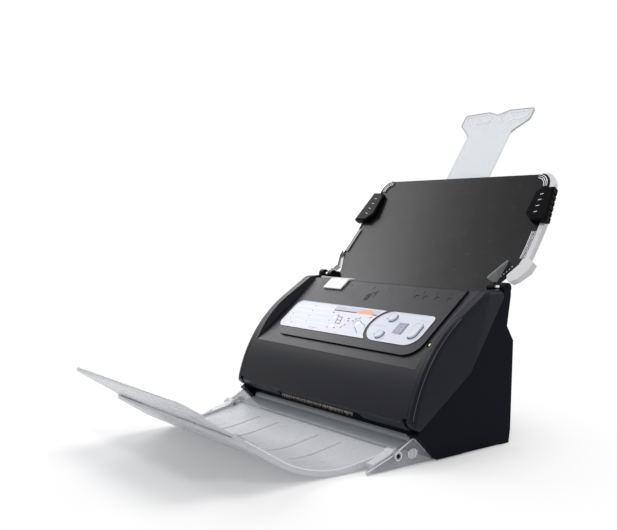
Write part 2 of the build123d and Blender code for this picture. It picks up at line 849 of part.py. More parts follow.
def make_button(outline):
    """Button cap with a bevelled upper edge and a square flange under the panel."""
    cap = slab(panel_plane, outline, -button_flange_depth, 0.3 + button_rise)
    top = cap.faces().sort_by(Axis(panel_plane.origin, panel_plane.z_dir))[-1]
    cap = chamfer(top.edges(), button_bevel)
    size, middle = outline.bounding_box().size, outline.bounding_box().center()
    flange = pad(panel_plane, middle.X, middle.Y, size.X + 2 * button_flange_width,
                 size.Y + 2 * button_flange_width, -button_flange_depth - 1, -button_flange_depth)
    return cap + flange


def make_keypad_board():
    """Board under the keypad on four posts, with the digit display below the window."""
    top = -button_flange_depth - 1 - button_travel - slide_gap
    board = pad(panel_plane, window_x, label_middle, 74, 33, top - 1.4, top)
    board += pad(panel_plane, window_x, window_along, 10, 12, top, -2.4)
    for side in (-1, 1):
        for along in (11, -15):
            x = window_x + side * 32
            board += pad(panel_plane, x, along, 4, 4, top, -wall - plate_rise - seat_gap)
    return board


def make_display_window():
    """Clear window of the digit display."""
    return slab(panel_plane, window_outline(0), -2.2, 0.35)


def make_power_led():
    """Small round light pipe beside the keypad."""
    return slab(panel_plane, Pos(led_x, led_along) * Circle(led_radius), -5, -plate_rise + 0.5)


def make_cover_side():
    """Right-hand rail of the cover, with a rounded outer edge and a round hinge corner."""
    inner_x = body_half_width - rail_width
    outline = cover_outline([seam_point(hinge_along, parting_gap / 2), hinge, lip_front],
                            parting_gap / 2)
    side = prism(outline, inner_x, body_half_width)
    outer = side.edges().filter_by(
        lambda e: abs((e @ 0.5).X - body_half_width) < 0.01 and on_crest(e @ 0.5))
    side = fillet(outer, rail_round)
    side += disc(hinge, hinge_corner_radius, inner_x, body_half_width)
    side -= disc(hinge, hinge_pin_radius + running_gap, inner_x - 1, body_half_width - wall)
    return side


def make_latch_stub():
    """Pin on the inner face of the right-hand rail, on which the release latch rocks."""
    return disc(latch_pivot, latch_pin_radius, latch_inner, body_half_width - rail_width)


def on_crest(point):
    """True for points of the cover's front and top surface."""
    reach = ((point.Y - crest_centre[0]) ** 2 + (point.Z - crest_centre[1]) ** 2) ** 0.5
    above_seam = point.Z > seam_bend[1] + (point.Y - seam_bend[0]) * tan(radians(seam_low_angle)) + 12
    return above_seam and point.Y < cover_rear_y - 1 and reach > crest_radius - 1


def make_cover_deck():
    """Upper paper guide inside the cover, with windows and forks for the pinch shaft."""
    top = cover_deck_depth + deck_thickness
    half = frame_inner + 1 - seat_gap
    low_end = -seam_low_length + 22.3
    deck = prism(strip_along_seam(low_end, throat_low_along - 8.3, top, deck_thickness), -half, half)
    deck -= pad(high_seam_plane, 0, front_scan_along, scan_bar_length + 2 * seat_gap,
                scan_bar_width + 2 * seat_gap, -4, 10)
    for x in exit_tyre_places:
        deck -= pad(low_seam_plane, x, exit_roller_along, exit_tyre_width + 4, 13, -4, 10)
    for side in (-1, 1):
        x = side * (exit_tyre_spacing / 2 + 16)
        deck += pad(low_seam_plane, x, exit_roller_along, 3, 9, top - 0.5, 9)
    hole = pinch_shaft_radius + running_gap
    return deck - disc(pinch_axis, hole, -exit_tyre_spacing, exit_tyre_spacing)


def make_pinch_rollers():
    """Two idle rollers on one thin shaft, pressing the sheet on the exit tyres."""
    reach = exit_tyre_spacing / 2 + 20
    rollers = disc(pinch_axis, pinch_shaft_radius, -reach, reach)
    for x in exit_tyre_places:
        rollers += disc(pinch_axis, pinch_radius, x - exit_tyre_width / 2, x + exit_tyre_width / 2)
    return rollers


def make_exit_brush():
    """Anti-static brush: tufts of fine bristles hanging from a strip in the exit slot."""
    strands = []
    pitch = (brush_right - brush_left - 4) / (tuft_count - 1)
    for tuft in range(tuft_count):
        middle = brush_left + 2 + tuft * pitch
        for column in range(strands_across):
            for row in range(2):
                x = middle + (column - (strands_across - 1) / 2) * 0.36
                y = -43.2 + 0.6 * row
                lean = 2.0 * ((column * 7 + row * 3 + tuft * 5) % 5 - 2) / 2
                length = strand_length - 0.35 * ((column * 3 + row + tuft * 2) % 4)
                strand = extrude(RegularPolygon(0.13, 3), amount=-length)
                strands.append(Pos(x, y, 28.9) * Rot(lean, 0, 0) * strand)
    backing = box((brush_left, brush_right), (-44.0, -41.8), (28.6, 30.4))
    return backing.fuse(*strands)


def make_separation_pad():
    """Rubber pad on a block, facing the feed roller."""
    face = roller_rise - deck_depth + 0.35
    block = pad(high_seam_plane, 0, 29.5, 36, 12, face, face + 2.2)
    return block + pad(high_seam_plane, 0, 27.5, 30, 8, face + 2.2, 7.8)


def make_cover_hinge_pins():
    """Two pins, pressed in the base lugs and turning in the cover's rails."""
    pin = disc(hinge, hinge_pin_radius, hinge_lug_outer - hinge_lug_width, body_half_width - wall - 0.4)
    return [pin, mirror(pin, about=Plane.YZ)]


def make_release_latch():
    """Release lever with a ribbed thumb pad, a pivot eye and a tail into the base."""
    outline = polygon([(49.2, 124.0), (50.2, 131.0), (52.5, 134.0), (59.5, 134.0), (59.5, 131.4),
                       (55.0, 130.2), (53.8, 124.0), (55.6, 115.8), (53.0, 115.0), (50.2, 121.5)])
    latch = prism(outline, latch_inner, latch_outer)
    latch += disc(latch_pivot, 3.2, latch_inner, latch_outer)
    for row in range(4):
        latch += box((latch_inner + 0.4, latch_outer - 0.4), (53.4 + 1.5 * row, 54.0 + 1.5 * row),
                     (133.8, 134.4))
    return latch - disc(latch_pivot, latch_pin_radius + running_gap, latch_inner - 1, latch_outer + 1)


def make_width_guide():
    """Sliding guide: a tab over the panel's lip, a bar in the throat and a side fence."""
    tab = pad(panel_plane, (guide_left + guide_right) / 2, 44.5, guide_right - guide_left, 14.0,
              slide_gap, slide_gap + guide_thickness)
    hook_low, hook_high = lip_top_height + slide_gap, lip_top_height + slide_gap + guide_thickness
    hook = box((guide_left, guide_right), (39.6, throat_top_y + slide_gap + guide_thickness),
               (hook_low, hook_high))
    bar = box((guide_fence_x, guide_right), (throat_top_y + slide_gap, throat_top_y + slide_gap
              + guide_thickness), (lip_top_height - 9, hook_high))
    fence = prism(polygon([
        (throat_top_y + slide_gap, hook_high), (throat_top_y + slide_gap, 118.0), (48.5, 112.0),
        (54.0, 118.6), (55.5, 128.0), (52.0, hook_high)]), guide_fence_x - 1.6, guide_fence_x)
    return tab + hook + bar + fence


# Chute


def chute_profile(front, back):
    """Side view of the bowed chute, between two depths off its front face."""
    middle = (chute_low + chute_high) / 2
    ends = (chute_low, chute_high)
    front_ends = [sheet_place(s, chute_front + front) for s in ends]
    back_ends = [sheet_place(s, chute_front - back) for s in ends]
    front_mid = sheet_place(middle, chute_front - chute_sag + front)
    back_mid = sheet_place(middle, chute_front - chute_sag - back)
    return make_face(Wire([
        ThreePointArc(pair(front_ends[0]), pair(front_mid), pair(front_ends[1])),
        Line(pair(front_ends[1]), pair(back_ends[1])),
        ThreePointArc(pair(back_ends[1]), pair(back_mid), pair(back_ends[0])),
        Line(pair(back_ends[0]), pair(front_ends[0]))]))


def chute_plan(grow):
    """Front view of the chute plate, grown by a border."""
    root, wide, top = (chute_root_half_width + grow, chute_half_width + grow,
                       chute_top_half_width + grow)
    high = chute_high + min(grow, 0)
    points = [(root, chute_low), (root, 16), (wide, 40), (wide - 2.5, 82), (top, high)]
    radii = [2, 6, 12, 30, chute_corner_radius]
    left = [(-x, s) for x, s in points[::-1]]
    return rounded(points + left, radii + radii[::-1])


def grip_outline(grow):
    """Front view of the right-hand grip."""
    edge = chute_half_width
    return polygon([
        (edge + 7.2 + grow, grip_low - grow), (edge - 11 - grow, grip_low - grow),
        (edge - 20 - grow, grip_low + 8), (edge - 20 - grow, grip_high - 5),
        (edge - 14 - grow, grip_high + grow), (edge - 1.4 + grow, grip_high + grow)])


def grip_seat():
    """Room taken by both grips in front of the plate and its edging."""
    return both_sides(slab(sheet_plane, grip_outline(0.15), grip_base_off - 0.15, 20))


def make_chute_plate():
    """Bowed chute plate with hinge lugs at its foot and guide rails on its back."""
    plate = prism(chute_profile(0, chute_thickness), -beyond, beyond)
    plate = plate & slab(sheet_plane, chute_plan(0), -30, 30)
    lug_foot = polygon([sheet_place(2.0, -3.4), sheet_place(13.0, -3.4), sheet_place(13.0, -1.0),
                        sheet_place(9.5, 5.5), sheet_place(3.0, 5.5)])
    lug = prism(lug_foot, chute_lug_inner - 1, chute_lug_outer)
    lug += disc(ear, ear_radius, chute_lug_inner - 1, chute_lug_outer)
    plate += both_sides(lug)
    plate -= grip_seat()
    plate += guide_rails()
    pin_hole = disc(ear, chute_pin_radius + running_gap, chute_lug_inner, chute_lug_outer + 1)
    return plate - both_sides(pin_hole)


def guide_rails():
    """Two hooked rails on the chute's back that hold the extension."""
    middle, length = (guide_rail_low + guide_rail_high) / 2, guide_rail_high - guide_rail_low
    low = -extension_thickness - slide_gap - guide_rail_width / 2
    inner = extension_arm_half_width + slide_gap
    behind = prism(chute_profile(-1.0, 20.0), -60, 60)
    web = pad(extension_plane, inner + guide_rail_width / 2, middle, guide_rail_width, length, low, 12)
    lip = pad(extension_plane, inner - 0.2, middle, 2 * guide_rail_width, length, low,
              -extension_thickness - slide_gap)
    return both_sides((web & behind) + lip)


def make_chute_edging():
    """Right-hand ribbed edging round the chute's side and top corner, with a flared fin."""
    band = slab(sheet_plane, chute_plan(edging_width) - chute_plan(seat_gap), -30, 30)
    span = prism(chute_profile(edging_proud, chute_thickness + edging_proud), edging_end_x, beyond)
    window = slab(sheet_plane, polygon([(edging_end_x, edging_low), (beyond, edging_low),
                                        (beyond, beyond), (edging_end_x, beyond)]), -30, 30)
    edging = band & span & window
    edging -= grip_seat()
    edge = chute_half_width
    fin_plan = polygon([
        (edge - 3.5, 16.5), (edge + 2, 15), (edge + 6.5, 18), (edge + 13.7, 28), (edge + 14.4, 37),
        (edge + 8.5, 40.5), (edge + 0.6, 40.5), (edge + 0.2, 34), (edge - 6.5, 21.5)])
    fin_side = prism(chute_profile(edging_proud + 2.2, chute_thickness), edge - 8, edge + 20)
    fin = slab(sheet_plane, fin_plan, -30, 30) & fin_side
    return edging + (fin - slab(sheet_plane, chute_plan(seat_gap), -30, 30))


def make_chute_grip():
    """Right-hand side grip, with a bevelled front and a ribbed outer face."""
    grip = slab(sheet_plane, grip_outline(0), grip_base_off, grip_top_off)
    top = grip.faces().sort_by(Axis(sheet_plane.origin, sheet_plane.z_dir))[-1]
    grip = chamfer(top.edges(), grip_bevel)
    lean = 8.6 / (grip_high - grip_low)
    for row in range(5):
        rise = 6.5 + 6 * row
        grip -= pad(sheet_plane, chute_half_width + 7.2 - rise * lean, grip_low + rise, 1.6, 2.0, -20, 20)
    return grip


def make_side_fence():
    """Pale triangular fence near the right side of the chute's foot."""
    outline = polygon([sheet_place(11, -2.6), sheet_place(39, -4.4), sheet_place(39, -3.2),
                       sheet_place(14, 9.0), sheet_place(11.5, 9.0)])
    front = prism(chute_profile(30, -seat_gap), fence_x - 1, fence_x + fence_thickness + 1)
    return prism(outline, fence_x, fence_x + fence_thickness) & front


def make_chute_extension():
    """Clear extension: a long arm with a two-winged head."""
    arm, head, top = extension_arm_half_width, extension_top_half_width, extension_top
    right = [(arm, extension_low), (arm, top - 30), (head, top - 15), (head, top - 1), (14, top)]
    valley = (0, top - extension_valley)
    left = [(-x, s) for x, s in right[::-1]]
    outline = rounded([*right, valley, *left], [2, 10, 6, 3, 3, 6, 3, 3, 6, 10, 2])
    return slab(extension_plane, outline, -extension_thickness, 0)


def make_chute_hinge_pins():
    """Two rods between the base ears and the chute's lugs."""
    pin = disc(ear, chute_pin_radius, chute_lug_inner + 0.4, body_half_width - 1.6)
    return [pin, mirror(pin, about=Plane.YZ)]


# Output tray


def tray_band(lift, drop):
    """Band between two curves parallel to the tray's floor."""
    upper = parallel_floor(lift)
    lower = parallel_floor(-drop)
    return make_face(Wire([*upper.edges(), Line(upper @ 1, lower @ 1), *lower.edges(),
                           Line(lower @ 0, upper @ 0)]))


def parallel_floor(lift):
    """Curve parallel to the tray's floor, at a height above it."""
    rear_slope = degrees(atan2(tray_rear[1] - tray_valley[1], tray_rear[0] - tray_valley[0]))
    rear_normal = normal(rear_slope)
    front_normal = Vector(sin(radians(leaf_slope)), cos(radians(leaf_slope)))
    valley_normal = (rear_normal + front_normal) * (1 / (1 + rear_normal.dot(front_normal)))
    points = [Vector(*tray_rear) + rear_normal * lift, Vector(*tray_valley) + valley_normal * lift,
              Vector(*tray_front) + front_normal * lift]
    return FilletPolyline(*[pair(p) for p in points], radius=tray_curve_radius - lift)


def tray_plan(inset):
    """Plan of the tray floor, inset by a border."""
    rear_half, front_half = tray_half_width - inset, tray_front_half_width - inset
    front_y = tray_front[0] + inset
    points = [(rear_half, tray_rear[0] + 5), (front_half, front_y), (-front_half, front_y),
              (-rear_half, tray_rear[0] + 5)]
    corner = tray_front_corner - inset
    return rounded(points, [0, corner, corner, 0])


def tall(face, low=-20, high=120):
    return extrude(Plane.XY.offset(low) * face, amount=high - low)


def make_tray_main():
    """Curved tray floor with a raised rim, pivot arms, slide rails and long ribs."""
    floor = prism(tray_band(0, tray_thickness), -beyond, beyond) & tall(tray_plan(0))
    rim = prism(tray_band(tray_rim, tray_thickness), -beyond, beyond) & (
        tall(tray_plan(0)) - tall(tray_plan(2.0)))
    rim -= tall(Pos(0, tray_front[0]) * Rectangle(2 * leaf_half_width + 2, 24))
    arm = polygon([(-60.0, 14.4), (-61.0, 6.0), (-66.0, 4.6), (-84.0, 2.9), (-84.0, 6.6), (-72.0, 10.2)])
    arms = prism(arm, tray_half_width - 3, tray_arm_outer)
    arms += disc(tray_pivot, tray_eye_radius, tray_half_width - 3, tray_arm_outer)
    tray = floor + rim + both_sides(arms) + leaf_rails()
    for side in (-1, 1):
        for x in (30, 62):
            tray += box((side * x - 0.6, side * x + 0.6), (-120, -66), (-5, 30)) & prism(
                tray_band(0.6, 1.0), -100, 100)
    pivot_hole = disc(tray_pivot, tray_pin_radius + running_gap, tray_half_width - 4, beyond)
    return tray - both_sides(pivot_hole)


def leaf_rails():
    """Hooked rails and low ribs on the tray floor, for the sliding leaf."""
    inner = leaf_half_width + slide_gap
    top = leaf_lift + leaf_thickness + slide_gap
    web = pad(leaf_plane, inner + 1, -13, 2, 22, -tray_thickness / 2, top + 1.4)
    hook = pad(leaf_plane, inner - 0.5, -13, 5, 22, top, top + 1.4)
    rib = pad(leaf_plane, 55, -13, 2, 22, -tray_thickness / 2, leaf_lift - slide_gap)
    return both_sides(web + hook + rib)


def make_tray_leaf():
    """Sliding front leaf with large rounded corners and a turned-up front edge."""
    half, low, high = leaf_half_width, -leaf_overlap, leaf_reach
    outline = rounded([(-half, low), (half, low), (half, high), (-half, high)],
                      [3, 3, leaf_corner, leaf_corner])
    leaf = slab(leaf_plane, outline, leaf_lift, leaf_lift + leaf_thickness)
    edge = slab(leaf_plane, outline - offset(outline, amount=-2.2), leaf_lift,
                leaf_lift + leaf_thickness + 0.8)
    edge = edge & pad(leaf_plane, 0, 58, 2 * beyond, 60, -10, 20)
    return leaf + edge


def make_tray_bracket():
    """Right-hand clear bracket: a low wing on the cheek's front, with a pivot pin and grip ribs."""
    outline = polygon([
        (base_front_y, 0.8), (-42.2, 21.0), (-44.4, 21.0), (-66.0, 10.6), (-bracket_reach, 2.5),
        (-bracket_reach, 0.8)])
    wing = prism(outline, bracket_inner, bracket_inner + bracket_thickness)
    outer = bracket_inner + bracket_thickness
    wing += disc(tray_pivot, tray_eye_radius, bracket_inner, outer + 0.8)
    wing += disc(tray_pivot, tray_pin_radius, tray_half_width - 2.4, bracket_inner + 1)
    for row, half in enumerate((2.0, 3.2, 3.6, 3.2, 2.0)):
        y = -49.0 + 1.6 * row
        wing += box((outer - 0.5, outer + 0.8), (y - 0.4, y + 0.4), (10 - half, 10 + half))
    return wing


def make_tray_apron():
    """Clear apron that leads the sheet from the exit to the tray."""
    half = cheek_half_width - 4
    outline = polygon([(-33.2, 19.4), (-35.2, 18.2), (-36.4, 15.6), (-51.8, 12.6), (-51.8, 10.8),
                       (-37.6, 13.4), (-33.2, 13.4)])
    apron = prism(outline, -half, half)
    for x in (-80, -40, 0, 40, 80):
        rib = polygon([(-33.2, 13.6), (-44, 12.2), (-33.2, 12.4)])
        apron += prism(rib, x - 0.8, x + 0.8)
    return apron


# Output


def write(name, part):
    """Write one node, moved to the shared frame, as a solid or a group of solids."""
    shift = Location((0, centre_shift, 0))
    parts = part if isinstance(part, (list, tuple)) else [part]
    solids = [solid for piece in parts for solid in (shift * piece).solids()]
    whole = solids[0] if len(solids) == 1 else Compound(children=solids)
    whole.label = name
    export_step(whole, f"parts/{name}.step")


def mirrored(part):
    return mirror(part, about=Plane.YZ)


def main():
    os.makedirs("parts", exist_ok=True)
    for name, gear in make_gears().items():
        write(name, gear)
    side, edging, grip = make_cover_side(), make_chute_edging(), make_chute_grip()
    bracket = make_tray_bracket()
    buttons = [make_button(outline) for outline in button_outlines(0)]
    rear_top_of_bar = -deck_depth - scan_glass_thickness
    front_foot_of_bar = cover_deck_depth + scan_glass_thickness
    glass_length = scan_bar_length - 1
    glass_width = scan_bar_width - 1
    nodes = {
        "base_housing": make_base_housing(), "bottom_plate": make_bottom_plate(),
        "rear_cover": make_rear_cover(), "rubber_feet": make_rubber_feet(),
        "case_screws": make_case_screws(), "circuit_board": make_circuit_board(),
        "power_jack": make_power_jack(), "usb_port": make_usb_port(),
        "paper_deck": make_paper_deck(), "side_frame_right": make_side_frame(),
        "side_frame_left": make_left_frame(), "drive_motor": make_drive_motor(),
        "rear_scan_bar": make_scan_bar(low_seam_plane, rear_scan_along, rear_top_of_bar,
                                       rear_top_of_bar - scan_bar_height),
        "rear_scan_glass": pad(low_seam_plane, 0, rear_scan_along, glass_length, glass_width,
                               rear_top_of_bar + 0.05, -deck_depth),
        "feed_shaft": make_shaft(feed_axis), "exit_shaft": make_shaft(exit_axis),
        "feed_tyre": make_tyres(feed_axis, feed_roller_radius, feed_tyre_width, (0,)),
        "exit_tyres": make_tyres(exit_axis, exit_roller_radius, exit_tyre_width, exit_tyre_places),
        "cover_hinge_pins": make_cover_hinge_pins(), "chute_hinge_pins": make_chute_hinge_pins(),
        "cover_shell": make_cover_shell(), "cover_side_right": side + make_latch_stub(),
        "cover_side_left": mirrored(side), "cover_deck": make_cover_deck(),
        "panel_label": make_panel_label(), "keypad_plate": make_keypad_plate(),
        "keypad_board": make_keypad_board(), "display_window": make_display_window(),
        "power_led": make_power_led(), "up_button": buttons[0], "down_button": buttons[1],
        "scan_button": buttons[2], "pinch_rollers": make_pinch_rollers(),
        "front_scan_bar": make_scan_bar(high_seam_plane, front_scan_along, front_foot_of_bar,
                                        front_foot_of_bar + scan_bar_height),
        "front_scan_glass": pad(high_seam_plane, 0, front_scan_along, glass_length, glass_width,
                                cover_deck_depth, front_foot_of_bar - 0.05),
        "separation_pad": make_separation_pad(), "exit_brush": make_exit_brush(),
        "release_latch": make_release_latch(), "width_guide": make_width_guide(),
        "chute_plate": make_chute_plate(), "chute_edging_right": edging,
        "chute_edging_left": mirrored(edging), "chute_grip_right": grip,
        "chute_grip_left": mirrored(grip), "side_fence": make_side_fence(),
        "chute_extension": make_chute_extension(), "tray_main": make_tray_main(),
        "tray_leaf": make_tray_leaf(), "tray_bracket_right": bracket,
        "tray_bracket_left": mirrored(bracket), "tray_apron": make_tray_apron()}
    for name, part in nodes.items():
        write(name, part)


main()
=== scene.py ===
"""Looks of the document scanner: materials, thin trim and prints, stage, lamps and camera.

Places and lengths are millimetres in the object's side views. at() turns them into the frame's
metres.
"""
import json
import math
import random

import bmesh
import bpy
from mathutils import Matrix, Vector


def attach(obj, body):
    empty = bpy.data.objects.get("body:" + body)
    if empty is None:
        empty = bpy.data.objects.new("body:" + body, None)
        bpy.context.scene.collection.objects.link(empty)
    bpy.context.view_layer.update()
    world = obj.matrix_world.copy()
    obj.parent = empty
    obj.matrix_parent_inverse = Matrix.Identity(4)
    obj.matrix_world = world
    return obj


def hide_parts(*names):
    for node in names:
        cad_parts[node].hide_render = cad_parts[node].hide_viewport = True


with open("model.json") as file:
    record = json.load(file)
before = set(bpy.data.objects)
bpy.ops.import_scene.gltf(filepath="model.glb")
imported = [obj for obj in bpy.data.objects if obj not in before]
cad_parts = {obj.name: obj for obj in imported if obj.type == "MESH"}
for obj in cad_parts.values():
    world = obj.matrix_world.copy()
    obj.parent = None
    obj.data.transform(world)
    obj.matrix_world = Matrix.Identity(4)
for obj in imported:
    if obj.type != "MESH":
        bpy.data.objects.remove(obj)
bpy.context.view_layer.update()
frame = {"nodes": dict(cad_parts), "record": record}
nodes = frame["nodes"]
record = frame["record"]

MM = 0.001
SHIFT = 16.463  # from the side views' origin to the centre of the object's box
PANEL_SLOPE = 38.0
SHEET_ANGLE = 53.0
EXTENSION_ANGLE = 55.0
PRINT_FOOT, PRINT_TOP = 0.2, 0.34  # heights of the prints above the panel's plane
OVERPRINT = 0.03
SIDES = ((1, "right"), (-1, "left"))


# Places on the object


def at(x, y, z):
    return Vector((x, y + SHIFT, z)) * MM


def slope(origin_y, origin_z, angle):
    """Function that places (x, distance up the slope, height above it)."""
    c, s = math.cos(math.radians(angle)), math.sin(math.radians(angle))

    def place(x, along, rise):
        return at(x, origin_y + along * c - rise * s, origin_z + along * s + rise * c)

    return place


panel = slope(0.0, 101.0, PANEL_SLOPE)
sheet = slope(62.3, 128.3, SHEET_ANGLE)

panel_up = panel(0, 0, 1) - panel(0, 0, 0)
panel_up.normalize()
panel_along = panel_up.cross(Vector((1, 0, 0)))


def side(x):
    """Places (y, z, distance outwards) on a plane across the object."""
    outward = 1 if x > 0 else -1
    return lambda y, z, rise: at(x + outward * rise, y, z)


def chute_rise(along):
    """Height of the bowed chute's front face above the plane of a sheet."""
    middle, half_length, edge_rise, bow = 68.25, 66.25, -1.0, 5.0
    return edge_rise - bow * (1 - ((along - middle) / half_length) ** 2)


# Materials


def new_material(name):
    mat = bpy.data.materials.new(name)
    mat.use_nodes = True
    tree = mat.node_tree
    return mat, tree, tree.nodes["Principled BSDF"]


def node(tree, kind, **inputs):
    made = tree.nodes.new(kind)
    for key, value in inputs.items():
        made.inputs[key.replace("_", " ")].default_value = value
    return made


def ramp(tree, source, low, high):
    """Colour ramp between two stops, each a position and a colour."""
    made = tree.nodes.new("ShaderNodeValToRGB")
    tree.links.new(source, made.inputs["Fac"])
    for element, (position, colour) in zip(made.color_ramp.elements, (low, high)):
        element.position, element.color = position, (*colour, 1)
    return made.outputs["Color"]


def shade(colour, factor):
    return tuple(min(1.0, c * factor) for c in colour)


def surface(name, colour, rough, metal=0.0, grain=0.25, edge=0.12, cloud=0.08, alpha=1.0,
            specular=0.5, glow=0.0):
    """Moulded or metal surface: soft clouds, fine grain, roughness patches and pale worn edges."""
    mat, tree, bsdf = new_material(name)
    coords = tree.nodes.new("ShaderNodeTexCoord")
    clouds = node(tree, "ShaderNodeTexNoise", Scale=22.0, Detail=4.0, Roughness=0.6)
    tree.links.new(coords.outputs["Object"], clouds.inputs["Vector"])
    tint = ramp(tree, clouds.outputs["Fac"],
                (0.3, shade(colour, 1 - cloud)), (0.7, shade(colour, 1 + cloud)))
    geometry = tree.nodes.new("ShaderNodeNewGeometry")
    worn = ramp(tree, geometry.outputs["Pointiness"], (0.50, (0, 0, 0)), (0.56, (edge, edge, edge)))
    mix = tree.nodes.new("ShaderNodeMix")
    mix.data_type = "RGBA"
    tree.links.new(worn, mix.inputs["Factor"])
    tree.links.new(tint, mix.inputs["A"])
    mix.inputs["B"].default_value = (*[min(1.0, c * 2.2 + 0.10) for c in colour], 1)
    tree.links.new(mix.outputs["Result"], bsdf.inputs["Base Color"])
    patches = node(tree, "ShaderNodeTexNoise", Scale=60.0, Detail=3.0)
    tree.links.new(coords.outputs["Object"], patches.inputs["Vector"])
    spread = tree.nodes.new("ShaderNodeMapRange")
    tree.links.new(patches.outputs["Fac"], spread.inputs["Value"])
    spread.inputs["To Min"].default_value = max(0.02, rough - 0.05)
    spread.inputs["To Max"].default_value = min(1.0, rough + 0.05)
    tree.links.new(spread.outputs["Result"], bsdf.inputs["Roughness"])
    if grain:
        fine = node(tree, "ShaderNodeTexNoise", Scale=2600.0, Detail=2.0)
        tree.links.new(coords.outputs["Object"], fine.inputs["Vector"])
        bump = node(tree, "ShaderNodeBump", Strength=grain, Distance=0.00006)
        tree.links.new(fine.outputs["Fac"], bump.inputs["Height"])
        tree.links.new(bump.outputs["Normal"], bsdf.inputs["Normal"])
    bsdf.inputs["Metallic"].default_value = metal
    bsdf.inputs["Specular IOR Level"].default_value = specular
    bsdf.inputs["Alpha"].default_value = alpha
    if glow:
        bsdf.inputs["Emission Color"].default_value = (*colour, 1)
        bsdf.inputs["Emission Strength"].default_value = glow
    return mat


looks = {}


def look(name, colour, rough, **settings):
    looks[name] = surface(name, colour, rough, **settings)


def ink(name, colour, rough=0.5, cloud=0.1, **settings):
    """Printed or painted mark, with no worn edges."""
    look(name, colour, rough, grain=0.05, cloud=cloud, edge=0.0, **settings)


# One look for each material slot, and three that set single nodes apart from their slot
look("dark_shell", (0.0058, 0.0062, 0.0105), 0.34, grain=0.15, specular=0.13, edge=0.06)
# Darker, less glossy copy of the dark shell for the base and rear cover: painted shade where the
# base stands in shadow
look("painted_shade_base", (0.0040, 0.0050, 0.0095), 0.34, grain=0.1, specular=0.03, edge=0.02)
look("bracket_clear", (0.30, 0.31, 0.34), 0.12, grain=0.0, alpha=0.42, cloud=0.03, edge=0.2,
     specular=0.4)
look("fence", (0.26, 0.30, 0.30), 0.2, grain=0.0, alpha=0.6, cloud=0.05, edge=0.1, specular=0.4)
look("rail_shell", (0.0060, 0.0065, 0.0120), 0.30, grain=0.12, specular=0.11, edge=0.10)
look("black_gloss", (0.002, 0.002, 0.003), 0.16, grain=0.03, specular=0.03, edge=0.02)
look("inner_black", (0.010, 0.010, 0.012), 0.55, specular=0.2)
look("label", (0.66, 0.68, 0.79), 0.42, grain=0.1, cloud=0.02, edge=0.0, specular=0.3)
look("keypad", (0.62, 0.64, 0.75), 0.42, grain=0.1, cloud=0.02, edge=0.0, specular=0.3)
look("button", (0.60, 0.62, 0.70), 0.38, grain=0.1, cloud=0.02, specular=0.3)
look("display", (0.26, 0.25, 0.37), 0.16, grain=0.0, cloud=0.10, specular=0.3)
look("led", (0.62, 0.86, 0.10), 0.25, grain=0.0, cloud=0.12, glow=0.7)
look("guide", (0.78, 0.78, 0.79), 0.45, cloud=0.03, specular=0.3)
look("chute", (0.009, 0.009, 0.0105), 0.26, grain=0.06, specular=0.12, edge=0.0)
look("silver", (0.44, 0.44, 0.46), 0.30, metal=0.7, grain=0.15)
look("clear", (0.62, 0.66, 0.70), 0.10, grain=0.0, alpha=0.42, cloud=0.03, edge=0.0, specular=0.4)
look("frosted", (0.66, 0.67, 0.70), 0.28, grain=0.08, alpha=0.68, cloud=0.04, edge=0.0,
     specular=0.4)
look("rubber", (0.012, 0.012, 0.012), 0.75, grain=0.5, specular=0.2)
look("roller_rubber", (0.12, 0.14, 0.17), 0.7, grain=0.5)
look("steel", (0.60, 0.60, 0.61), 0.26, metal=1.0, grain=0.1)
look("frame_steel", (0.52, 0.53, 0.54), 0.34, metal=1.0, grain=0.2)
look("gear", (0.72, 0.70, 0.63), 0.42, grain=0.1)
look("board", (0.02, 0.16, 0.07), 0.35, grain=0.2)
look("bristle", (0.78, 0.70, 0.52), 0.5, grain=0.0, cloud=0.25)
look("scan_glass", (0.85, 0.9, 0.9), 0.04, grain=0.0, alpha=0.35)

# Looks of the detail pieces alone
ink("rim_white", (0.86, 0.86, 0.90), rough=0.35, cloud=0.02)
ink("print_grey", (0.16, 0.155, 0.21), specular=0.1)
ink("print_dark", (0.045, 0.045, 0.07), specular=0.1)
ink("print_pale", (0.50, 0.51, 0.60))
ink("print_black", (0.003, 0.003, 0.005), rough=0.6, specular=0.02)
ink("print_red", (0.50, 0.03, 0.07), specular=0.1)
ink("print_orange", (0.86, 0.34, 0.16), cloud=0.15)
ink("print_light", (0.50, 0.50, 0.52))
look("edge_grey", (0.34, 0.37, 0.42), 0.25, grain=0.05, alpha=0.85, cloud=0.08)
# Lighter grey than the shell: painted highlight for the cover's rail and seam edges
ink("painted_edge_highlight", (0.075, 0.077, 0.088), rough=0.3, specular=0.2)
look("edge_white", (0.86, 0.87, 0.90), 0.2, grain=0.05, alpha=0.8, cloud=0.04)


def dress_nodes():
    """Gives every CAD node its material and soft edges."""
    slots = {entry["node"]: entry["material_slot"] for entry in record["subparts"]}
    # The base and rear cover take the darker copy of the shell, which paints shade on them
    set_apart = {"base_housing": "painted_shade_base", "rear_cover": "painted_shade_base",
                 "tray_bracket_right": "bracket_clear", "tray_bracket_left": "bracket_clear",
                 "side_fence": "fence"}
    small_bevel = 0.2
    wider_bevels = {
        "cover_shell": 0.5, "cover_side_right": 0.5, "cover_side_left": 0.5, "tray_main": 0.5,
        "chute_extension": 0.5, "chute_plate": 0.4, "base_housing": 0.4, "rear_cover": 0.4,
        "tray_leaf": 0.4, "width_guide": 0.4}
    for name, obj in nodes.items():
        mat = looks[set_apart.get(name, slots[name])]
        for entry in obj.material_slots:
            entry.material = mat
        if not obj.material_slots:
            obj.data.materials.append(mat)
        if name == "exit_brush":  # replaced by make_brush
            continue
        bevel = obj.modifiers.new("soft_edges", "BEVEL")
        bevel.width = wider_bevels.get(name, small_bevel) * MM
        bevel.segments = 2
        bevel.limit_method = "ANGLE"
        bevel.angle_limit = math.radians(32)
        bevel.harden_normals = True
        bevel.use_clamp_overlap = True


# Building detail pieces: a look, the body that the piece rides on, and its slot


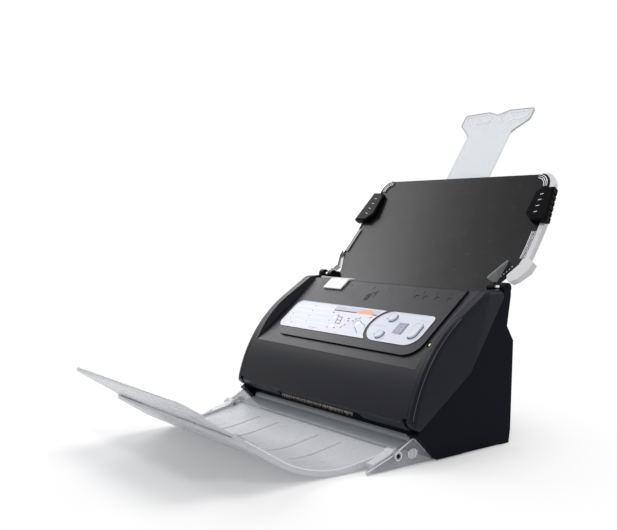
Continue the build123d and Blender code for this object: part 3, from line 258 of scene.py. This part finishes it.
def finish_piece(obj, look_name, body):
    bpy.context.scene.collection.objects.link(obj)
    obj.data.materials.append(looks[look_name])
    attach(obj, body)
    return obj


def mesh_piece(name, bm, look_name, body):
    bmesh.ops.recalc_face_normals(bm, faces=bm.faces)
    mesh = bpy.data.meshes.new(name)
    bm.to_mesh(mesh)
    bm.free()
    for face in mesh.polygons:
        face.use_smooth = False
    return finish_piece(bpy.data.objects.new(name, mesh), look_name, body)


def add_prism(bm, outline, place, low, high):
    """Adds a closed plate with an outline on a plane, between two heights."""
    bottom = [bm.verts.new(place(a, b, low)) for a, b in outline]
    top = [bm.verts.new(place(a, b, high)) for a, b in outline]
    bm.faces.new(top)
    bm.faces.new(bottom[::-1])
    for i in range(len(outline)):
        j = (i + 1) % len(outline)
        bm.faces.new((bottom[i], bottom[j], top[j], top[i]))


def plates(name, outlines, place, low, high, look_name, body):
    """One piece made of several thin plates on one plane."""
    bm = bmesh.new()
    for outline in outlines:
        add_prism(bm, outline, place, low, high)
    mesh_piece(name, bm, look_name, body)


def panel_print(name, outlines, look_name, lift=0.0):
    """Thin print on the cover's panel."""
    plates(name, outlines, panel, PRINT_FOOT, PRINT_TOP + lift, look_name, "cover")


def dash(x, along, length, width, turn=0.0):
    """Outline of a short bar round its middle."""
    c, s = math.cos(math.radians(turn)), math.sin(math.radians(turn))
    corners = ((-length, -width), (length, -width), (length, width), (-length, width))
    return [(x + (a * c - b * s) / 2, along + (a * s + b * c) / 2) for a, b in corners]


def stroke(start, end, width):
    """Outline of a bar from one point to another."""
    (x0, s0), (x1, s1) = start, end
    turn = math.degrees(math.atan2(s1 - s0, x1 - x0))
    return dash((x0 + x1) / 2, (s0 + s1) / 2, math.hypot(x1 - x0, s1 - s0), width, turn)


def turns(steps):
    return [2 * math.pi * i / steps for i in range(steps)]


def oval(x, along, half_width, half_height, steps=24):
    return [(x + half_width * math.cos(t), along + half_height * math.sin(t))
            for t in turns(steps)]


def tube(name, points, radius, look_name, body, closed=False):
    """Round bead along a line of points."""
    curve = bpy.data.curves.new(name, "CURVE")
    curve.dimensions = "3D"
    curve.bevel_depth = radius * MM
    curve.bevel_resolution = 2
    curve.use_fill_caps = True
    line = curve.splines.new("POLY")
    line.points.add(len(points) - 1)
    for item, point in zip(line.points, points):
        item.co = (*point, 1)
    line.use_cyclic_u = closed
    line.use_smooth = True
    finish_piece(bpy.data.objects.new(name, curve), look_name, body)


def loop_length(loop):
    return sum((loop[i] - loop[i - 1]).length for i in range(len(loop)))


def top_loops(name, up):
    """Closed edge loops round the highest flat face of a node, longest first."""
    bm = bmesh.new()
    bm.from_mesh(nodes[name].data)
    bmesh.ops.remove_doubles(bm, verts=bm.verts, dist=1e-6)
    top = max(v.co.dot(up) for v in bm.verts)
    on_top = {f for f in bm.faces if all(v.co.dot(up) > top - 2e-5 for v in f.verts)}
    links = {}
    for edge in bm.edges:
        if len([f for f in edge.link_faces if f in on_top]) == 1:
            a, b = edge.verts
            links.setdefault(a, []).append(b)
            links.setdefault(b, []).append(a)
    loops = []
    while links:
        start = next(iter(links))
        loop, current, last = [start], links[start][0], start
        while current is not start:
            loop.append(current)
            following = [v for v in links[current] if v is not last]
            last, current = current, following[0]
        for vert in loop:
            links.pop(vert, None)
        loops.append([v.co.copy() for v in loop])
    bm.free()
    return sorted(loops, key=lambda loop: -loop_length(loop))


# Trim and prints on the cover


def make_panel_rims():
    """Bright rims round label, keypad and buttons, and painted shadow lines along one side of the
    keypad's openings.
    """
    for plate in ("panel_label", "keypad_plate"):
        tube(plate + "_rim", top_loops(plate, panel_up)[0], 0.34, "rim_white", "cover",
             closed=True)
    for number, opening in enumerate(top_loops("keypad_plate", panel_up)[1:]):
        add_keypad_painted_shadow(number, opening)
    keys = {"up_button": "up_key", "down_button": "down_key", "scan_button": "scan_key"}
    for button, body in keys.items():
        tube(button + "_rim", top_loops(button, panel_up)[0], 0.22, "button", body,
             closed=True)


def add_keypad_painted_shadow(number, opening):
    """Dark line along the lower right side of an opening in the keypad: painted shadow where that
    side of the opening falls in shade.
    """
    middle = sum(opening, Vector()) / len(opening)
    least_reach = 0.8 * MM
    shown = [(p - middle).x * 0.85 - (p - middle).dot(panel_along) * 0.5 > least_reach
             for p in opening]
    if not any(shown):
        return
    start = next(i for i in range(len(opening)) if shown[i] and not shown[i - 1])
    run = []
    for step in range(len(opening)):
        i = (start + step) % len(opening)
        if not shown[i]:
            break
        run.append(opening[i] - panel_up * 0.1 * MM)
    # Dark tube on the shaded side only: painted shadow
    tube(f"keypad_painted_shadow_{number}", run, 0.42, "print_dark", "cover")


def make_panel_prints():
    """Generic table lines, marks, dots, dashes and a colour bar on the label and keypad."""
    lines = [dash(-66.0, row, 62.0, 0.45) for row in (9.5, 3.0, -3.6, -10.2, -16.4)]
    panel_print("label_lines", lines, "rim_white")
    small_marks = ((-70.5, 11.5), (-69.1, 4.9), (-67.8, -2.7), (-64.6, -10.1), (-94.4, -2.3),
                   (-92.4, -9.7), (-84.7, -14.6), (-32.8, -4.7), (-28.1, -12.7))
    marks = [dash(x, s, 1.5, 1.0, 20) for x, s in small_marks]
    marks += [dash(-46.0, -16.6, 16.0, 0.5), dash(-26.0, -14.6, 2.4, 0.5)]
    marks += [dash(41.0, 7.4, 1.6, 1.2, 30), dash(41.6, -12.8, 1.6, 1.2, 30)]
    marks += [dash(-33.0 + 4 * i, 13.0, 0.5, 2.2) for i in range(3)]
    panel_print("label_marks", marks, "print_grey")
    words = [dash(33.0 + 3.3 * i, -2.0, 2.2, 1.0) for i in range(5)]
    words += [dash(83.0 + 3.0 * i, 10.2, 2.0, 1.2) for i in range(4)]
    panel_print("keypad_dashes", words, "print_pale")
    bar = [(-39.4, 15.1), (-38.3, 9.8), (24.0, 9.8), (27.6, 15.1)]
    panel_print("label_bar", [bar], "print_pale")
    under_bar = [dash(-21.0, 9.4, 34.0, 1.1), dash(21.0, 9.4, 7.0, 1.1)]
    panel_print("label_bar_line", under_bar, "print_dark", lift=OVERPRINT)
    half_oval = [p for p in oval(8.0, 9.2, 11.0, 5.4, 40) if p[1] >= 9.15]
    panel_print("label_bar_spot", [half_oval], "print_orange", lift=0.05)
    dots = [oval(-28.3, 0.2, 2.0, 1.9), oval(-22.4, -11.0, 2.0, 1.9), oval(9.5, -3.2, 2.4, 2.2)]
    panel_print("label_dots", dots, "rim_white", lift=OVERPRINT)
    red = ((-35.9, 6.2, 0), (-25.7, 3.0, 30), (-8.0, 0.9, 0), (-6.0, -2.1, 0), (-6.0, -7.5, 90),
           (-8.4, -10.8, 60), (-17.0, -12.7, 0), (2.5, 1.6, 90), (6.3, 3.0, 60),
           (0.7, -1.4, 0), (19.2, 5.9, 40))
    panel_print("label_red_dashes", [dash(x, s, 2.9, 1.2, turn) for x, s, turn in red],
                "print_red")


def make_label_figure():
    """Plain leaning figure made of strokes, on the label."""
    left, right, low, high, lean = -21.0, -14.6, -7.0, 1.4, -3.2

    def corner(u, v):
        return (left + (right - left) * u + lean * v, low + (high - low) * v)

    strokes = [(corner(0, v), corner(1, v)) for v in (0.0, 0.5, 1.0)]
    strokes += [(corner(u, 0), corner(u, 1)) for u in (0.0, 1.0)]
    panel_print("label_digit", [stroke(start, end, 0.7) for start, end in strokes], "print_dark")


def make_label_sketch():
    """Bare outline of two bent lines, on the label."""
    upper = [(3.6, -5.2), (5.0, -0.9), (9.6, 0.2), (14.0, -2.2), (21.0, -4.6), (24.4, -8.8)]
    lower = [(8.2, -8.2), (13.0, -10.6), (19.4, -15.4)]
    bars = [stroke(start, end, 0.5) for line in (upper, lower)
            for start, end in zip(line, line[1:])]
    panel_print("label_sketch", bars, "print_dark")


def make_display_marks():
    """Pale plain segments on the display window."""
    middle_x, middle_s = 66.2, -2.2
    bars = [dash(middle_x, middle_s + 3.4 * row, 4.6, 0.5) for row in (-1, 0, 1)]
    bars += [dash(middle_x + 2.5 * column, middle_s + 1.7 * row, 0.5, 2.8)
             for column in (-1, 1) for row in (-1, 1)]
    window_edge = top_loops("display_window", panel_up)[0][0]
    level = (window_edge.dot(panel_up) - panel(0, 0, 0).dot(panel_up)) / MM
    plates("display_segments", bars, panel, level - 0.05, level + 0.03, "print_pale", "cover")


def make_throat_scale():
    """Short tick marks and small plain blocks beside the throat."""
    ticks = [dash(x, 38.6, 0.8, 4.4) for x in (106.0, 92.4, 77.0, 62.6, 51.4)]
    ticks += [dash(x + 1.8, 40.6, 3.6, 0.9) for x in (92.4, 77.0, 62.6, 51.4)]
    ticks += [dash(-2.0, 36.6, 0.9, 10.0), dash(-5.4, 38.0, 4.6, 0.8)]
    ticks += [dash(-9.0, 28.2 + 2.6 * i, 4.4, 0.9) for i in range(4)]
    ticks += [dash(-11.0, 32.1, 0.8, 7.8), dash(-7.0, 32.1, 0.8, 7.8)]
    plates("throat_scale", ticks, panel, -0.02, 0.06, "print_black", "cover")


def make_plate_painted_shadow():
    """Near-black tube round the left, lower and right sides of the raised plate, in the step below
    its edge: painted shadow under the plate's edge.
    """
    left, right, low, radius, depth = -97.5, 106.1, -30.6, 16.0, 1.35
    path = [(left, 20.0), (left, low + radius)]
    for centre_x, start in ((left + radius, 180), (right - radius, 270)):
        for step in range(13):
            turn = math.radians(start + 7.5 * step)
            path.append((centre_x + radius * math.cos(turn),
                         low + radius + radius * math.sin(turn)))
    path.append((right, 36.0))
    # Dull near-black bead: painted shadow along the foot of the plate's edge
    tube("plate_painted_shadow", [panel(x, s, -depth) for x, s in path], 0.42, "print_black", "cover")


def make_led_collar():
    """Dark collar round the power light."""
    rim = top_loops("power_led", panel_up)[0]
    middle = sum(rim, Vector()) / len(rim)
    across, radius, depth = Vector((1, 0, 0)), 2.5, 0.2
    ring = [middle + (across * math.cos(t) + panel_along * math.sin(t)) * radius * MM
            - panel_up * depth * MM for t in turns(24)]
    tube("led_collar", ring, 0.75, "print_black", "cover", closed=True)


# Trim and prints on the chute and its extension


def edging_runs(inset):
    """A rib's two runs on the chute's right side: under the grip, and round the top corner."""
    wide, upper, top, high = 126.0 - inset, 123.5 - inset, 114.5 - inset, 134.5 - inset
    under = [(wide, 42.0), (wide - 0.6, 56.0), (upper + 0.6, 72.0)]
    radius = 14.0 - inset
    corner = []
    for step in range(1, 9):
        turn = math.radians(-8 + 98 * step / 8)
        corner.append((top - radius + radius * math.cos(turn),
                       high - radius + radius * math.sin(turn)))
    return under, corner + [(101.0, high)]


def make_edging_ribs():
    """Raised ribs along both silver edgings, the inner one bright."""
    ribs = ((0.9, "silver"), (2.7, "silver"), (4.5, "rim_white"))
    for sign, side_name in SIDES:
        for number, (inset, look_name) in enumerate(ribs):
            for part, run in enumerate(edging_runs(inset)):
                points = [sheet(sign * x, s, chute_rise(s) + 1.2) for x, s in run]
                tube(f"edging_rib_{side_name}_{number}_{part}", points, 0.42, look_name,
                     "chute")


def make_ruler_dots():
    """Pale ruler dots near the foot of the chute."""
    places = ((116.6, 33.4), (115.2, 30.2), (113.8, 27.4), (112.2, 24.6), (110.6, 22.0))
    bm = bmesh.new()
    for x, s in places:
        outline = oval(x, s, 0.55, 0.8, 10)
        rise = chute_rise(outline[0][1])
        add_prism(bm, outline, sheet, rise - 0.3, rise + 0.06)
    mesh_piece("ruler_dots", bm, "print_light", "chute")


def make_grip_dashes():
    """Four short pale dashes on the front of each grip."""
    places = ((115.4, 110.0), (116.0, 103.5), (116.8, 96.8), (117.6, 90.0))
    for sign, side_name in SIDES:
        marks = [dash(sign * x, s, 3.6, 0.9, 12 * sign) for x, s in places]
        plates(f"grip_dashes_{side_name}", marks, sheet, 0.5, 0.9, "print_light", "chute")


def make_extension_rims():
    """Rim round the head of the clear extension, and a closed line on each of its wings."""
    angle = math.radians(EXTENSION_ANGLE)
    up = Vector((0, -math.sin(angle), math.cos(angle)))
    along = Vector((0, math.cos(angle), math.sin(angle)))
    outer = top_loops("chute_extension", up)[0]
    top = max(p.dot(along) for p in outer)
    head_length = 0.031
    on_head = [p.dot(along) > top - head_length for p in outer]
    start = next(i for i in range(len(outer)) if on_head[i] and not on_head[i - 1])
    turned = outer[start:] + outer[:start]
    head = [p - up * 0.0006 for p in turned if p.dot(along) > top - head_length]
    tube("extension_rim", head, 0.65, "edge_grey", "extension")
    level = outer[0].dot(up) - 0.0004
    wing = ((8.0, 15.0), (38.0, 14.0), (43.0, 10.0), (43.0, 4.2), (12.0, 3.4), (7.0, 6.0))
    for sign, side_name in SIDES:
        points = [Vector((sign * x * MM, 0, 0)) + along * (top - drop * MM) + up * level
                  for x, drop in wing]
        tube(f"extension_wing_{side_name}", points, 0.55, "edge_white", "extension",
             closed=True)


# Trim on the brackets, the cover's edges and the tray


def make_bracket_details():
    """Bright upper edge, pivot hole and ring, and grip ribs on each clear bracket."""
    edge_x, outer_x = 126.7, 128.8
    top_line = ((-30.5, 9.3), (-42.2, 21.0), (-44.4, 21.0), (-66.0, 10.6), (-91.5, 2.6))
    pivot_y, pivot_z = -61.0, 10.3
    rib_halves = (2.2, 3.4, 3.9, 4.1, 3.9, 3.4, 2.2)
    for sign, side_name in SIDES:
        edge = [at(sign * edge_x, y, z - 0.25) for y, z in top_line]
        tube(f"bracket_edge_{side_name}", edge, 0.55, "edge_white", "base")
        plates(f"pivot_hole_{side_name}", [oval(pivot_y, pivot_z, 1.7, 1.7)],
               side(sign * outer_x), -0.1, 0.06, "print_black", "base")
        ring = [at(sign * (outer_x + 0.05), y, z) for y, z in oval(pivot_y, pivot_z, 3.3, 3.3, 28)]
        tube(f"pivot_ring_{side_name}", ring, 0.5, "edge_white", "base", closed=True)
        for row, half in enumerate(rib_halves):
            y = -50.4 + 1.5 * row
            rib = [at(sign * outer_x, y, 10 - half), at(sign * outer_x, y, 10 + half)]
            tube(f"grip_rib_{side_name}_{row}", rib, 0.4, "edge_white", "base")


def make_painted_edge_highlights():
    """Thin pale beads where the cover's rails turn, and along the cover's parting line: painted
    highlights standing in for light caught on these edges.
    """
    crest_y, crest_z, crest_radius = 80.5, 4.2, 130.85
    crest = []
    for step in range(15):
        turn = math.radians(14.0 + 42.5 * step / 14)
        crest.append((crest_y - crest_radius * math.cos(turn),
                      crest_z + crest_radius * math.sin(turn)))
    bend_y, bend_z, lower_reach, upper_reach = 18.0, 67.0, 56.0, 66.0
    low, high = math.radians(35.0), math.radians(56.0)
    seam = ((bend_y - lower_reach * math.cos(low), bend_z - lower_reach * math.sin(low)),
            (bend_y, bend_z),
            (bend_y + upper_reach * math.cos(high), bend_z + upper_reach * math.sin(high)))
    for sign, side_name in SIDES:
        points = [at(sign * 130.05, y, z) for y, z in crest]
        tube(f"rail_painted_highlight_{side_name}", points, 0.3, "painted_edge_highlight", "cover")
        points = [at(sign * 131.2, y - 0.35, z + 0.35) for y, z in seam]
        tube(f"seam_painted_highlight_{side_name}", points, 0.3, "painted_edge_highlight", "cover")


def tray_rim_path(lift):
    """Side view of the tray's rim: two straight runs and the curve between them."""
    rear, valley, front = Vector((-66.0, 8.6)), Vector((-129.8, -2.0)), Vector((-190.0, 37.6))
    rear_way, front_way = (rear - valley).normalized(), (front - valley).normalized()
    inward = (rear_way + front_way).normalized()
    half_turn = rear_way.angle(front_way) / 2
    radius = 100.0
    centre = valley + inward * (radius / math.sin(half_turn))
    reach = radius / math.tan(half_turn)
    first, last = valley + rear_way * reach - centre, valley + front_way * reach - centre
    path = [rear]
    for step in range(13):
        share = step / 12
        way = (first * (1 - share) + last * share).normalized()
        path.append(centre + way * radius)
    path.append(front)
    return [(p.x, p.y + lift) for p in path]


def make_tray_edges():
    """Pale bead round the top of the leaf and along both sides of the tray's rim."""
    turn = math.radians(33.3)
    loop = top_loops("tray_leaf", Vector((0, math.sin(turn), math.cos(turn))))[0]
    tube("leaf_edge", loop, 0.45, "edge_white", "leaf", closed=True)
    path = tray_rim_path(2.3)
    front_half_width, widening, front_y, length, inset = 110.8, 6.8, -194.0, 140.5, 1.4
    for sign, side_name in SIDES:
        points = [at(sign * (front_half_width + widening * (y - front_y) / length - inset), y, z)
                  for y, z in path]
        tube(f"tray_edge_{side_name}", points, 0.5, "edge_white", "tray")


def make_brush():
    """Sparse uneven bristles hanging from a dark strip in the exit slot."""
    rng = random.Random(7)
    bm = bmesh.new()
    count, first_x, span, slot_y, root_z, radius = 150, -56.0, 106.0, -43.2, 28.9, 0.17
    for i in range(count):
        x = first_x + span * (i + rng.uniform(-0.4, 0.4)) / (count - 1)
        y = slot_y + rng.uniform(-0.3, 0.9)
        length = rng.uniform(2.6, 4.4)
        lean = rng.uniform(-0.5, 0.5)
        root = [bm.verts.new(at(x + radius * math.cos(t), y + radius * math.sin(t), root_z))
                for t in (0, 2.09, 4.19)]
        tip = bm.verts.new(at(x + lean, y + rng.uniform(-0.2, 0.2), root_z - length))
        for a in range(3):
            bm.faces.new((root[a], root[(a + 1) % 3], tip))
        bm.faces.new(root[::-1])
    bristles = mesh_piece("brush_bristles", bm, "bristle", "cover")
    bm = bmesh.new()
    strip = [(-44.0, 28.7), (-41.9, 28.7), (-41.9, 30.3), (-44.0, 30.3)]
    add_prism(bm, strip, lambda y, z, x: at(x, y, z), 51.9, -57.9)
    bmesh.ops.bevel(bm, geom=bm.edges[:], offset=0.00015, segments=1, affect="EDGES")
    mesh_piece("brush_strip", bm, "inner_black", "cover")
    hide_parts("exit_brush")


dress_nodes()
make_panel_rims()
make_panel_prints()
make_label_figure()
make_label_sketch()
make_display_marks()
make_throat_scale()
make_plate_painted_shadow()
make_led_collar()
make_edging_ribs()
make_ruler_dots()
make_grip_dashes()
make_extension_rims()
make_bracket_details()
make_painted_edge_highlights()
make_tray_edges()
make_brush()


# Stage, lamps and camera


def math_node(tree, operation, first, second):
    made = tree.nodes.new("ShaderNodeMath")
    made.operation = operation
    tree.links.new(first, made.inputs[0])
    tree.links.new(second, made.inputs[1])
    return made.outputs[0]


def background_rays(tree):
    """One for camera, glossy and transmission rays, which see the plain white background."""
    rays = tree.nodes.new("ShaderNodeLightPath").outputs
    either = math_node(tree, "MAXIMUM", rays["Is Camera Ray"], rays["Is Glossy Ray"])
    return math_node(tree, "MAXIMUM", either, rays["Is Transmission Ray"])


def mix_shaders(tree, share, first, second, target):
    mix = tree.nodes.new("ShaderNodeMixShader")
    tree.links.new(share, mix.inputs[0])
    tree.links.new(first.outputs[0], mix.inputs[1])
    tree.links.new(second.outputs[0], mix.inputs[2])
    tree.links.new(mix.outputs[0], target.inputs["Surface"])


def make_stage():
    """Plain white floor that fades into the white background and keeps the object's shadow."""
    bpy.ops.mesh.primitive_plane_add(size=24.0, location=(0, 0, 0))
    floor = bpy.context.object
    floor.name = "floor"
    mat, tree, bsdf = new_material("floor")
    bsdf.inputs["Base Color"].default_value = (0.95, 0.95, 0.955, 1)
    bsdf.inputs["Roughness"].default_value = 0.9
    bsdf.inputs["Specular IOR Level"].default_value = 0.0
    white = node(tree, "ShaderNodeEmission", Color=(1, 1, 1, 1), Strength=1.0)
    coords = tree.nodes.new("ShaderNodeTexCoord")
    reach = tree.nodes.new("ShaderNodeVectorMath")
    reach.operation = "DISTANCE"
    tree.links.new(coords.outputs["Object"], reach.inputs[0])
    reach.inputs[1].default_value = (-0.03, -0.09, 0)  # middle of the shadow
    fade = node(tree, "ShaderNodeMapRange", From_Min=0.13, From_Max=0.36, To_Min=0.12)
    fade.interpolation_type = "SMOOTHSTEP"
    tree.links.new(reach.outputs["Value"], fade.inputs["Value"])
    seen = math_node(tree, "MULTIPLY", fade.outputs["Result"], background_rays(tree))
    mix_shaders(tree, seen, bsdf, white, tree.nodes["Material Output"])
    floor.data.materials.append(mat)


def make_world():
    """White background, with a softer even light on the object."""
    world = bpy.data.worlds.new("studio")
    bpy.context.scene.world = world
    world.use_nodes = True
    tree = world.node_tree
    tree.nodes.clear()
    out = tree.nodes.new("ShaderNodeOutputWorld")
    light = node(tree, "ShaderNodeBackground", Color=(1, 1, 1, 1), Strength=0.5)
    seen = node(tree, "ShaderNodeBackground", Color=(1, 1, 1, 1), Strength=1.0)
    mix_shaders(tree, background_rays(tree), light, seen, out)


def area_light(name, place, target, size, power):
    data = bpy.data.lights.new(name, "AREA")
    data.shape = "RECTANGLE"
    data.size, data.size_y = size
    data.energy = power
    lamp = bpy.data.objects.new(name, data)
    bpy.context.scene.collection.objects.link(lamp)
    lamp.location = place
    way = Vector(target) - Vector(place)
    lamp.rotation_euler = way.to_track_quat("-Z", "Y").to_euler()


def make_camera():
    """Camera at the photograph's place, from the fitted angles and focal length."""
    azimuth, pitch, roll = (math.radians(a) for a in (53.677, 3.411, 0.675))
    sensor_width, photo_width, focal_pixels = 36.0, 617, 883.474
    place = (0.638288, -0.504545, 0.202317)
    forward = Vector((-math.sin(azimuth) * math.cos(pitch), math.cos(azimuth) * math.cos(pitch),
                      -math.sin(pitch)))
    right = Vector((math.cos(azimuth), math.sin(azimuth), 0))
    down = forward.cross(right)
    turned_right = right * math.cos(roll) + down * math.sin(roll)
    turned_down = down * math.cos(roll) - right * math.sin(roll)
    data = bpy.data.cameras.new("camera")
    data.sensor_width = sensor_width
    data.lens = sensor_width * focal_pixels / photo_width
    data.clip_end = 30.0
    camera = bpy.data.objects.new("camera", data)
    bpy.context.scene.collection.objects.link(camera)
    columns = (turned_right, -turned_down, -forward)
    turn = Matrix([[c[i] for c in columns] for i in range(3)]).to_4x4()
    camera.matrix_world = Matrix.Translation(place) @ turn
    bpy.context.scene.camera = camera


make_stage()
make_world()
area_light("key", (-0.1, 0.2, 1.6), (0, 0, 0.08), (0.9, 0.9), 8.5)
area_light("left", (-1.5, -0.12, 1.08), (0, 0, 0.1), (1.5, 0.62), 13.0)
area_light("back", (0.5, 1.6, 1.0), (0, 0, 0.1), (1.0, 0.6), 3.0)
area_light("front", (0.84, -0.75, 1.25), (0, 0, 0.1), (0.22, 0.22), 3.0)
make_camera()
bpy.context.scene.view_settings.view_transform = "Standard"
